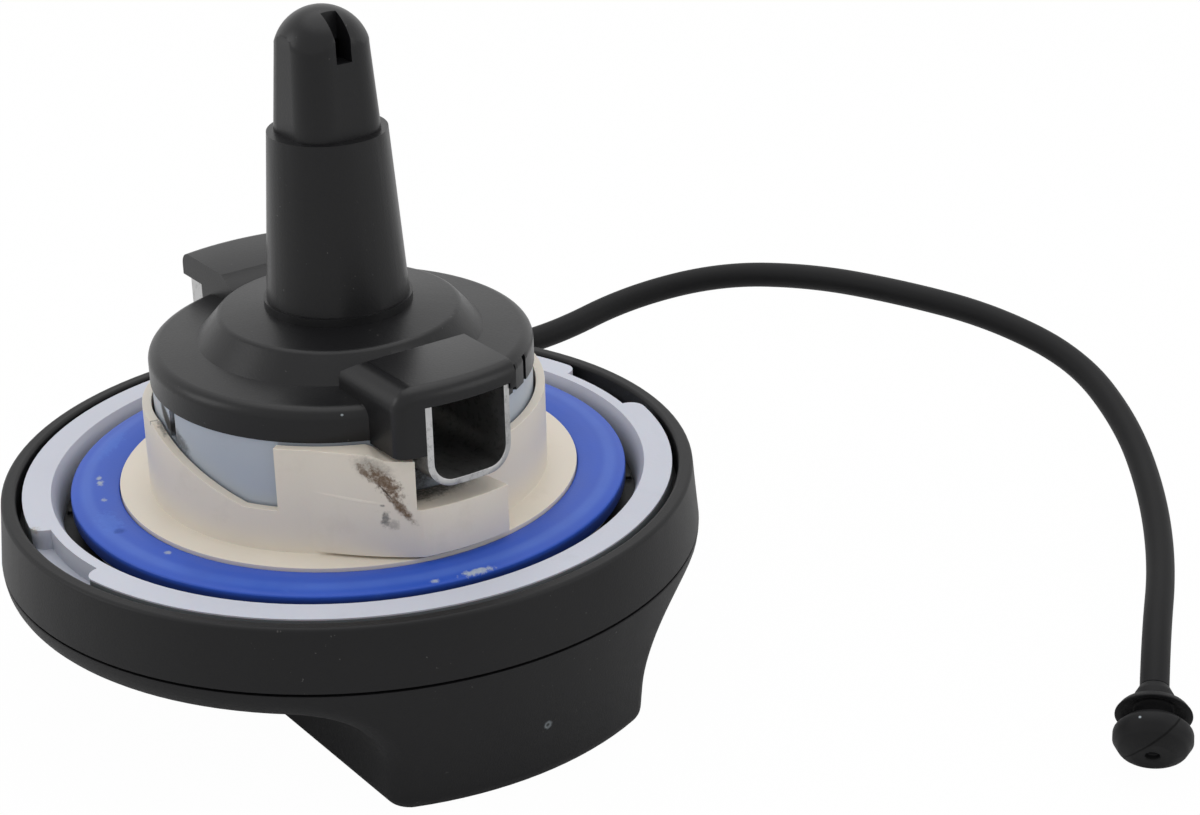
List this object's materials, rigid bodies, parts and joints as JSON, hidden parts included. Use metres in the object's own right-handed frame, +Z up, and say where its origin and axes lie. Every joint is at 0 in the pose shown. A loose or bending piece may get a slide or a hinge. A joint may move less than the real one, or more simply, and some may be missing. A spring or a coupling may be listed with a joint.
{
  "type": "bayonet fuel filler cap",
  "caption": "Bayonet fuel filler cap with a ratchet clutch, a cam closure collar, sprung lugs, two valves and a tether with a push-in plug",
  "frame": {"origin": "centre of the grip bar's foot, on the plane it stands on", "axes": "+Z up the cap's axis towards the tank side, +X along the grip bar and the lugs, +Y completes a right-handed frame"},
  "size_m": [0.1229, 0.1328, 0.0797],
  "materials": {
    "shell_plastic": "fine-grained black moulded plastic",
    "white_plastic": "satin white moulded plastic",
    "cream_plastic": "satin cream moulded acetal",
    "sleeve_plastic": "satin blue-grey moulded plastic",
    "natural_plastic": "natural moulded acetal",
    "seal_rubber": "soft blue fluoro rubber",
    "strap_rubber": "matt black rubber",
    "bright_steel": "bright rolled steel"
  },
  "bodies": {
    "grip": {"grip_shell": "shell_plastic", "clutch_cover": "shell_plastic", "retaining_ring": "white_plastic"},
    "tether": {"tether_ring": "shell_plastic", "tether_strap": "strap_rubber", "tether_plug": "strap_rubber"},
    "drive": {"drive_plate": "natural_plastic", "click_ring": "natural_plastic", "drive_shaft": "natural_plastic", "drive_screw": "bright_steel", "shaft_o_ring": "strap_rubber", "shaft_washer": "bright_steel", "shaft_clip": "bright_steel", "lift_spring": "bright_steel"},
    "collar": {"closure_collar": "cream_plastic", "seal_ring": "seal_rubber", "valve_cage": "natural_plastic", "vacuum_valve_spring": "bright_steel"},
    "bayonet": {"bayonet_body": "shell_plastic", "bayonet_channel": "bright_steel", "guide_sleeve": "sleeve_plastic", "vent_tip": "shell_plastic", "relief_retainer": "natural_plastic", "relief_spring": "bright_steel"},
    "vacuum_valve": {"vacuum_valve_plate": "natural_plastic", "vacuum_valve_seal": "seal_rubber"},
    "relief_valve": {"relief_poppet": "natural_plastic"}
  },
  "joints": [
    {"name": "tether_swivel", "type": "hinge", "parent": "grip", "child": "tether", "pos_m": [0, 0, 0.019], "axis": [0, 0, 1], "continuous": true},
    {"name": "clutch_slip", "type": "hinge", "parent": "grip", "child": "drive", "pos_m": [0, 0, 0.0161], "axis": [0, 0, 1], "continuous": true, "deforming": ["click_ring"]},
    {"name": "collar_turn", "type": "hinge", "parent": "drive", "child": "collar", "pos_m": [0, 0, 0.0222], "axis": [0, 0, -1], "range_deg": [0, 20]},
    {"name": "bayonet_lift", "type": "slide", "parent": "drive", "child": "bayonet", "axis": [0, 0, 1], "range_m": [0, 0.0023], "deforming": ["lift_spring"]},
    {"name": "vacuum_valve_lift", "type": "slide", "parent": "collar", "child": "vacuum_valve", "axis": [0, 0, 1], "range_m": [0, 0.0015], "stiffness_N_per_m": 40, "springref_m": -0.006, "deforming": ["vacuum_valve_spring"]},
    {"name": "relief_valve_drop", "type": "slide", "parent": "bayonet", "child": "relief_valve", "axis": [0, 0, -1], "range_m": [0, 0.0015], "stiffness_N_per_m": 10, "springref_m": -0.004, "deforming": ["relief_spring"]}
  ],
  "couplings": [
    {"joint": "collar_turn", "follows": "bayonet_lift", "rad_per_m": 151.7}
  ]
}
